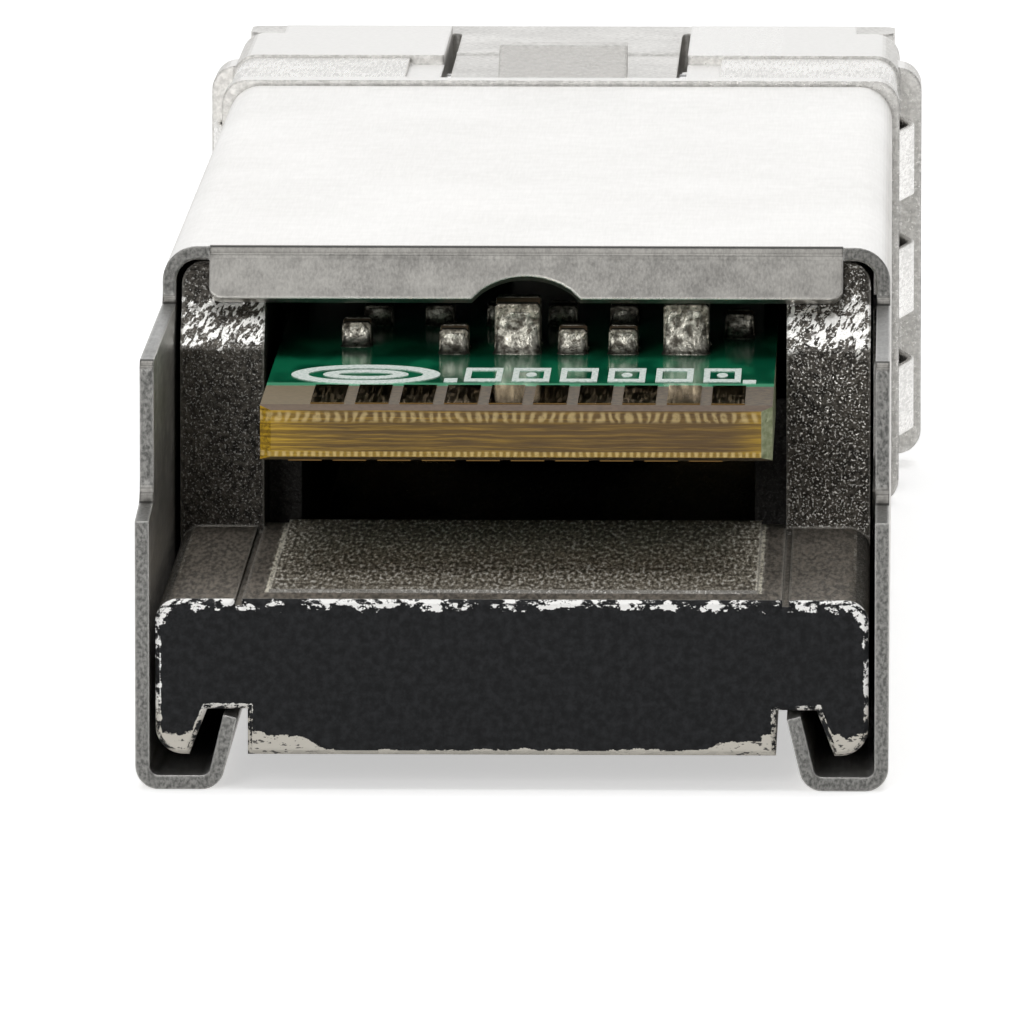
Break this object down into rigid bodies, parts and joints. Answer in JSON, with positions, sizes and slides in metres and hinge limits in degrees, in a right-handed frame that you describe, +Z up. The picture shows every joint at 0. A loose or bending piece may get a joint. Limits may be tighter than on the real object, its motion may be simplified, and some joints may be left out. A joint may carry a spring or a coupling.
{
  "type": "sfp transceiver",
  "caption": "Slim pluggable optical transceiver: folded cover on a die-cast tray, card-edge board at the rear, twin plug ports, latch and bail at the front.",
  "frame": {"origin": "middle of the footprint, on the resting plane under the cover's hooks and the nose", "axes": "+X across, +Y forward from the card edge to the plug ports, +Z up to the latch side"},
  "size_m": [0.0146, 0.0576, 0.0091],
  "materials": {
    "cover_steel": "plated sheet steel with a fine brushed grain and bright cut edges",
    "cast_zinc": "die-cast zinc with a dark finish, worn to bright grains on its edges",
    "board_green": "glass-fibre board under glossy green solder mask",
    "contact_gold": "hard gold plating",
    "terminal_tin": "tinned end caps with a mottled solder skin",
    "capacitor_ceramic": "fired brown ceramic",
    "resistor_ceramic": "dark glazed film on white ceramic",
    "chip_black": "moulded epoxy",
    "thermal_gel": "soft heat pad",
    "can_metal": "plated header and cap",
    "barrel_steel": "turned stainless steel",
    "sleeve_zirconia": "ground white ceramic",
    "flex_polyimide": "amber printed film",
    "holder_plastic": "moulded plastic",
    "spring_steel": "thin plated spring steel",
    "latch_zinc": "plated zinc",
    "pin_steel": "ground steel pin"
  },
  "bodies": {
    "module": {"top_cover": "cover_steel", "base_housing": "cast_zinc", "circuit_board": "board_green", "upper_contacts": "contact_gold", "lower_contacts": "contact_gold", "large_capacitor_bodies": "capacitor_ceramic", "large_capacitor_terminals": "terminal_tin", "small_capacitor_bodies": "capacitor_ceramic", "small_capacitor_terminals": "terminal_tin", "chip_resistor_bodies": "resistor_ceramic", "chip_resistor_terminals": "terminal_tin", "laser_driver_chip": "chip_black", "receiver_amplifier_chip": "chip_black", "controller_chip": "chip_black", "thermal_pad": "thermal_gel", "transmitter_can": "can_metal", "transmitter_barrel": "barrel_steel", "transmitter_sleeve": "sleeve_zirconia", "receiver_can": "can_metal", "receiver_barrel": "barrel_steel", "receiver_sleeve": "sleeve_zirconia", "transmitter_flex": "flex_polyimide", "receiver_flex": "flex_polyimide", "optics_holder": "holder_plastic", "ground_collar": "spring_steel", "latch_pin": "pin_steel", "latch_spring": "spring_steel"},
    "lever": {"latch_lever": "latch_zinc"},
    "bail": {"bail": "latch_zinc"}
  },
  "joints": [
    {"name": "bail_hinge", "type": "hinge", "parent": "module", "child": "bail", "pos_m": [0, 0.0252, 0.00684], "axis": [1, 0, 0], "range_deg": [0, 90]},
    {"name": "lever_rock", "type": "hinge", "parent": "module", "child": "lever", "pos_m": [0, 0.0202, 0.0076], "axis": [1, 0, 0], "range_deg": [0, 7], "deforming": ["latch_spring"]}
  ],
  "couplings": [
    {"joint": "lever_rock", "follows": "bail_hinge", "ratio": 0.0777}
  ]
}
